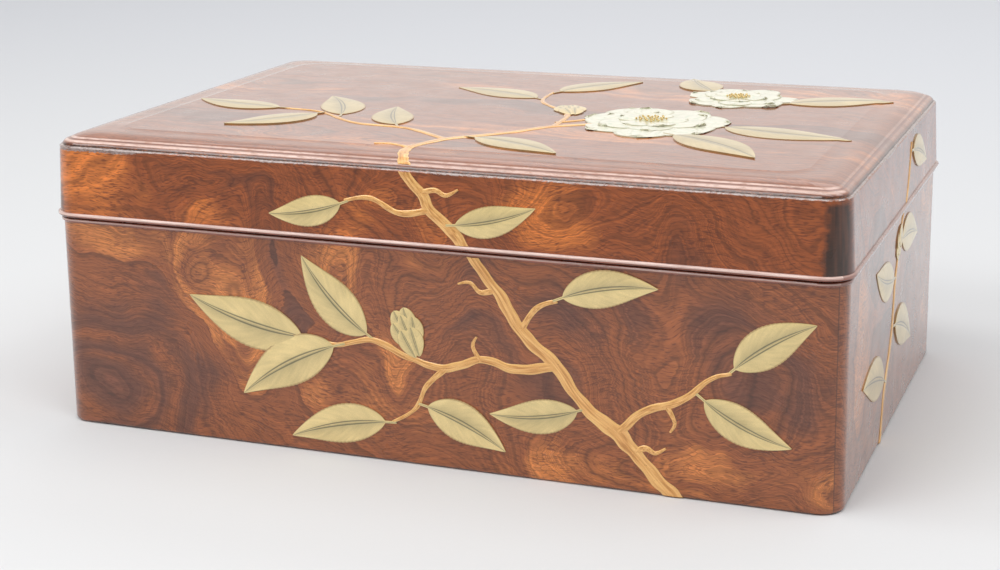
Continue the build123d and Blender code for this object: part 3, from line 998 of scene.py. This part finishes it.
# Leaves: (name, face, root, tip, width, bend)
LEAVES = [
    ("leaf_base_1", on_base_front, (-56, 58), (-124, 74), 25, 0.10),
    ("leaf_base_2", on_base_front, (-40, 57), (-96, 26), 24, -0.12),
    ("leaf_base_3", on_base_front, (-24, 60), (-62, 99), 22, 0.12),
    ("leaf_base_4", on_base_front, (-14, 20), (-70, 7), 20, -0.10),
    ("leaf_base_5", on_base_front, (-2, 31), (42, 12), 20, 0.10),
    ("leaf_base_6", on_base_front, (148, 61), (188, 88), 19, 0.10),
    ("leaf_base_7", on_base_front, (134, 51), (178, 30), 18, -0.12),
    ("leaf_base_8", on_base_front, (66, 88), (116, 98), 18, 0.12),
    ("leaf_base_9", on_base_front, (82, 38), (34, 30), 17, 0.12),
    ("leaf_lid_1", on_lid_front, (-36, 128), (-78, 119), 15, 0.10),
    ("leaf_lid_2", on_lid_front, (14, 120), (58, 131), 15, -0.10),
    ("leaf_top_1", on_top, (-116, -34), (-176, -22), 22, 0.10),
    ("leaf_top_2", on_top, (-92, -40), (-128, -84), 24, 0.12),
    ("leaf_top_3", on_top, (-80, -48), (-110, 6), 24, -0.12),
    ("leaf_top_4", on_top, (-40, -64), (-62, -14), 22, 0.10),
    ("leaf_top_5", on_top, (2, -78), (58, -104), 22, 0.10),
    ("leaf_top_6", on_top, (4, 30), (-54, 52), 24, -0.10),
    ("leaf_top_7", on_top, (3, 50), (40, 98), 24, 0.12),
    ("leaf_top_8", on_top, (92, -42), (148, -86), 26, 0.12),
    ("leaf_top_9", on_top, (110, -14), (182, -30), 26, -0.10),
    ("leaf_top_10", on_top, (128, 52), (184, 78), 26, 0.10),
    ("leaf_top_11", on_top, (88, 76), (64, 118), 24, 0.10),
    ("leaf_right_1", on_base_right, (-20, 28), (-84, 44), 22, -0.10),
    ("leaf_right_2", on_base_right, (-4, 52), (54, 30), 22, 0.12),
    ("leaf_right_3", on_base_right, (2, 76), (-56, 92), 20, 0.10),
    ("leaf_right_4", on_base_right, (10, 92), (66, 84), 20, 0.10),
    ("leaf_right_5", on_lid_right, (34, 134), (82, 120), 17, 0.10),
]
# Blossoms: (name, face, centre, radius, turn)
BLOSSOMS = [
    ("blossom_large", on_top, (78, -14), 40, 0.3),
    ("blossom_far", on_top, (104, 62), 31, 1.1),
]
# Buds: (name, face, foot, top, width)
BUDS = [
    ("bud_base", on_base_front, (-2, 54), (-12, 78), 15),
    ("bud_top", on_top, (34, -8), (22, 18), 15),
    ("bud_right", on_base_right, (14, 100), (2, 84), 12),
]


# ---------------------------------------------------------------- stage
FLOOR_SIZE = 24.0  # m
CAMERA_PLACE = (345.2, -928.1, 332.9)  # mm
CAMERA_YAW = 20.94  # degrees to the left of +Y
CAMERA_PITCH = 12.71  # degrees down
CAMERA_ROLL = -0.68
CAMERA_SHIFT = -0.10
FLOOR_DROP = 0.0003  # m under the box
# Painted shade: the floor in front of the box, towards the camera, is darker, standing in for the unlit room
# that the lacquer reflects
NEAR_FLOOR_PAINTED_DARK = (0.40, 0.40, 0.40, 1)
# Painted light: the far floor is paler, making up for the lamps' light falling off with distance
FAR_FLOOR_PAINTED_LIGHT = (0.75, 0.76, 0.785, 1)
ROOM_BEHIND = (0.30, 0.30, 0.30, 1)  # what the lacquer reflects from behind the camera
ROOM_AHEAD = (0.95, 0.915, 0.89, 1)
ROOM_LIGHT = (0.50, 0.505, 0.52, 1)
BACKDROP = (0.72, 0.73, 0.76, 1)
AIM_HEIGHT = 0.08  # m, where the lamps point
# Lamps: (name, place in m, width and depth in m, power in W)
LAMPS = [
    ("key_softbox", (-0.8, -1.5, 1.6), (1.5, 0.7), 16.0),
    ("top_softbox", (-0.1, -0.45, 1.75), (2.5, 0.5), 15.0),
    ("back_softbox", (0.0, 2.0, 1.9), (3.0, 1.6), 13.0),
    ("right_softbox", (1.25, 0.30, 1.7), (0.8, 0.8), 6.5),
]


def add_floor(context):
    deselect()
    bpy.ops.mesh.primitive_plane_add(size=FLOOR_SIZE, location=(0, 0, -FLOOR_DROP))
    bpy.ops.object.transform_apply(location=True, rotation=True, scale=True)
    floor = context.object
    floor.name = "floor"
    material, g = new_material("floor_paper")
    place = g.node("ShaderNodeTexCoord").outputs["Object"]
    deep = g.separate(place)[1]
    pale = tuple(context.scene.tea_box_stage.floor)
    # Painted shade: darker floor in front of the box, for darker reflections in the lacquer
    near = g.ramp(g.step(deep, -0.85, -0.36), [(0.0, NEAR_FLOOR_PAINTED_DARK), (1.0, pale)])
    # Painted light: paler far floor, making up for the lamps' falloff
    colour = g.mix(g.step(deep, 0.1, 1.4), near, FAR_FLOOR_PAINTED_LIGHT)
    grain = g.noise(place, 900.0, 2.0)
    colour = g.mix(0.03, colour, g.ramp(grain, [(0.3, 0.8), (0.7, 1.1)]), "MULTIPLY")
    g.surface(colour, 0.85, g.bump(grain, 0.05, 0.0002))
    floor.data.materials.append(material)


def add_lights(context):
    world = bpy.data.worlds.new("studio")
    context.scene.world = world
    world.use_nodes = True
    g = Graph(world.node_tree)
    rays = g.node("ShaderNodeLightPath").outputs
    seen = g.math("MAXIMUM", g.math("MAXIMUM", rays["Is Camera Ray"], rays["Is Glossy Ray"]),
                  rays["Is Transmission Ray"])
    way = g.separate(g.node("ShaderNodeTexCoord").outputs["Generated"])
    room = g.ramp(g.step(way[1], -0.45, 0.25), [(0.0, ROOM_BEHIND), (1.0, ROOM_AHEAD)])
    light, reflected, backdrop = (
        g.node("ShaderNodeBackground", {"Color": colour, "Strength": 1.0}).outputs[0]
        for colour in (ROOM_LIGHT, room, BACKDROP))
    sky = g.node("ShaderNodeMixShader", {0: seen, 1: light, 2: reflected}).outputs[0]
    sky = g.node("ShaderNodeMixShader", {0: rays["Is Camera Ray"], 1: sky, 2: backdrop}).outputs[0]
    g.node("ShaderNodeOutputWorld", {"Surface": sky})

    for name, place, size, power in LAMPS:
        deselect()
        bpy.ops.object.light_add(type="AREA", location=place)
        lamp = context.object
        lamp.name = name
        lamp.data.shape = "RECTANGLE"
        lamp.data.size, lamp.data.size_y = size
        lamp.data.energy = power
        aim = Vector((0, max(0, place[1]), AIM_HEIGHT))
        lamp.rotation_euler = (aim - Vector(place)).to_track_quat("-Z", "Y").to_euler()


def add_camera(context):
    deselect()
    bpy.ops.object.camera_add(location=Vector(CAMERA_PLACE) * MM)
    camera = context.object
    camera.name = "camera"
    yaw, pitch, roll = (math.radians(angle) for angle in (CAMERA_YAW, CAMERA_PITCH, CAMERA_ROLL))
    ahead = Vector((-math.sin(yaw) * math.cos(pitch), math.cos(yaw) * math.cos(pitch), -math.sin(pitch)))
    right = Vector((math.cos(yaw), math.sin(yaw), 0))
    up = right.cross(ahead)
    turned_right = right * math.cos(roll) + up * math.sin(roll)
    turned_up = up * math.cos(roll) - right * math.sin(roll)
    turn = Matrix((turned_right, turned_up, -ahead)).transposed()
    camera.rotation_euler = turn.to_euler()
    camera.data.sensor_width = 36
    camera.data.lens = context.scene.tea_box_stage.lens
    camera.data.shift_y = CAMERA_SHIFT
    camera.data.clip_end = 100
    context.scene.camera = camera


# ---------------------------------------------------------------- operators
def dress(node, material):
    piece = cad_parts[node]
    piece.data.materials.clear()
    piece.data.materials.append(material)


class TEABOX_OT_wood(Operator):
    """Gives the boards and the top their figured wood"""

    bl_idname = "teabox.wood"
    bl_label = "Figured wood"

    def execute(self, context):
        faces = {
            "front": figured_wood("figured_wood_front", (0, 2), FRONT_SWELLS, (0.035, 0.055), 11.0),
            "right": figured_wood("figured_wood_right", (1, 2), SIDE_SWELLS, (0.050, 0.040), 230.0),
            "back": figured_wood("figured_wood_back", (0, 2), BACK_SWELLS, (-0.040, 0.050), 410.0),
            "left": figured_wood("figured_wood_left", (1, 2), SIDE_SWELLS, (-0.050, 0.045), 650.0),
        }
        for side, material in faces.items():
            dress(f"base_wall_{side}", material)
            dress(f"lid_wall_{side}", material)
        dress("lid_top", figured_wood("figured_wood_top", (0, 1), TOP_SWELLS, (0.012, 0.16), 870.0))
        return {"FINISHED"}


class TEABOX_OT_lacquer(Operator):
    """Gives the beads, the lip, the tray and the bottom their finish"""

    bl_idname = "teabox.lacquer"
    bl_label = "Lacquered pieces"

    def execute(self, context):
        tint = tuple(context.scene.tea_box_lacquer.bead)
        # Heights of the painted highlight lines along the beads' crests
        lid_line = (LID_BEAD_HIGH - 1.4, LID_BEAD_HIGH + 1)
        base_line = (BASE_BEAD_LOW + 0.8, BASE_BEAD_LOW + 1.9)
        flange = brown_lacquer("flange_lacquer", tint)
        strewn = strewn_lacquer("strewn_lacquer")
        bottom = plain_wood("bottom_wood", (0.33, 0.16, 0.075, 1), (0.16, 0.065, 0.03, 1), 40.0)
        peg = plain_wood("peg_wood", (0.45, 0.28, 0.14, 1), (0.26, 0.14, 0.06, 1), 90.0)
        for side in SIDES:
            painted_light_and_wear = 1.0 if side == "front" else 0.35  # the painted highlights are strongest on the front
            lid_bead = brown_lacquer(f"lid_bead_lacquer_{side}", tint, lid_line, 0.95 * painted_light_and_wear)
            base_bead = brown_lacquer(f"base_bead_lacquer_{side}", tint, base_line, 0.6 * painted_light_and_wear)
            dress(f"lid_bead_{side}", lid_bead)
            dress(f"base_bead_{side}", base_bead)
            dress(f"base_lip_{side}", strewn)
            dress(f"tray_wall_{side}", strewn)
            dress(f"tray_flange_{side}", flange)
        dress("tray_bottom", strewn)
        dress("base_bottom", bottom)
        for node in ("base_pegs", "base_tongues", "lid_dowels", "lid_tongues"):
            dress(node, peg)
        return {"FINISHED"}


class TEABOX_OT_branches(Operator):
    """Adds the raised branches"""

    bl_idname = "teabox.branches"
    bl_label = "Branches"

    def execute(self, context):
        gold = branch_gold("branch_gold")
        for number, (name, face, points) in enumerate(BRANCHES):
            finish_piece(branch(name, face, points, number), BODIES[face], gold)
        return {"FINISHED"}


class TEABOX_OT_leaves(Operator):
    """Adds the raised leaves"""

    bl_idname = "teabox.leaves"
    bl_label = "Leaves"

    def execute(self, context):
        gold = leaf_gold("leaf_gold")
        # The top's leaves get a darker, more worn copy of the gold: painted shade for the top's stronger
        # light, and wear
        top_gold = leaf_gold("leaf_gold_painted_shade_and_wear", 1.0)
        for name, face, root, tip, width, bend in LEAVES:
            lift = 0.20 + 0.16 * (int(name.rsplit("_", 1)[1]) % 3)  # where leaves cross, one lies higher
            piece = leaf(name, face, root, tip, width, bend, lift)
            finish_piece(piece, BODIES[face], top_gold if face is on_top else gold)
        return {"FINISHED"}


class TEABOX_OT_blossoms(Operator):
    """Adds the blossoms and the buds"""

    bl_idname = "teabox.blossoms"
    bl_label = "Blossoms and buds"

    def execute(self, context):
        white = petal_white("petal_white")
        gold = leaf_gold("bud_gold")
        stamen = stamen_gold("stamen_gold")
        for name, face, centre, radius, turn in BLOSSOMS:
            petals, heart = blossom(name, face, centre, radius, turn)
            finish_piece(petals, BODIES[face], white)
            finish_piece(heart, BODIES[face], stamen)
        for name, face, foot, top, width in BUDS:
            finish_piece(bud(name, face, foot, top, width), BODIES[face], gold)
        return {"FINISHED"}


class TEABOX_OT_stage(Operator):
    """Adds the floor, the lights and the camera"""

    bl_idname = "teabox.stage"
    bl_label = "Stage"

    def execute(self, context):
        add_floor(context)
        add_lights(context)
        add_camera(context)
        context.scene.view_settings.view_transform = "Standard"
        return {"FINISHED"}


# ---------------------------------------------------------------- panel and registration
class TEABOX_PT_panel(Panel):
    """Lists the steps that dress the box"""

    bl_idname = "TEABOX_PT_panel"
    bl_label = "Tea box"
    bl_space_type = "VIEW_3D"
    bl_region_type = "UI"
    bl_category = "Tea box"

    def draw(self, context):
        for step in STEPS:
            self.layout.operator(step.bl_idname)
        for name in GROUPS:
            settings = getattr(context.scene, name)
            for key in settings.__annotations__:
                self.layout.prop(settings, key)


STEPS = (TEABOX_OT_wood, TEABOX_OT_lacquer, TEABOX_OT_branches, TEABOX_OT_leaves, TEABOX_OT_blossoms,
         TEABOX_OT_stage)
GROUPS = {
    "tea_box_wood": TeaBoxWood,
    "tea_box_lacquer": TeaBoxLacquer,
    "tea_box_spray": TeaBoxSpray,
    "tea_box_stage": TeaBoxStage,
}


def register():
    for name, group in GROUPS.items():
        bpy.utils.register_class(group)
        setattr(bpy.types.Scene, name, PointerProperty(type=group))
    for step in STEPS:
        bpy.utils.register_class(step)
    bpy.utils.register_class(TEABOX_PT_panel)


def unregister():
    bpy.utils.unregister_class(TEABOX_PT_panel)
    for step in reversed(STEPS):
        bpy.utils.unregister_class(step)
    for name, group in GROUPS.items():
        delattr(bpy.types.Scene, name)
        bpy.utils.unregister_class(group)


def main():
    register()
    for step in STEPS:
        group, operator = step.bl_idname.split(".")
        getattr(getattr(bpy.ops, group), operator)()


if __name__ == "__main__":
    main()
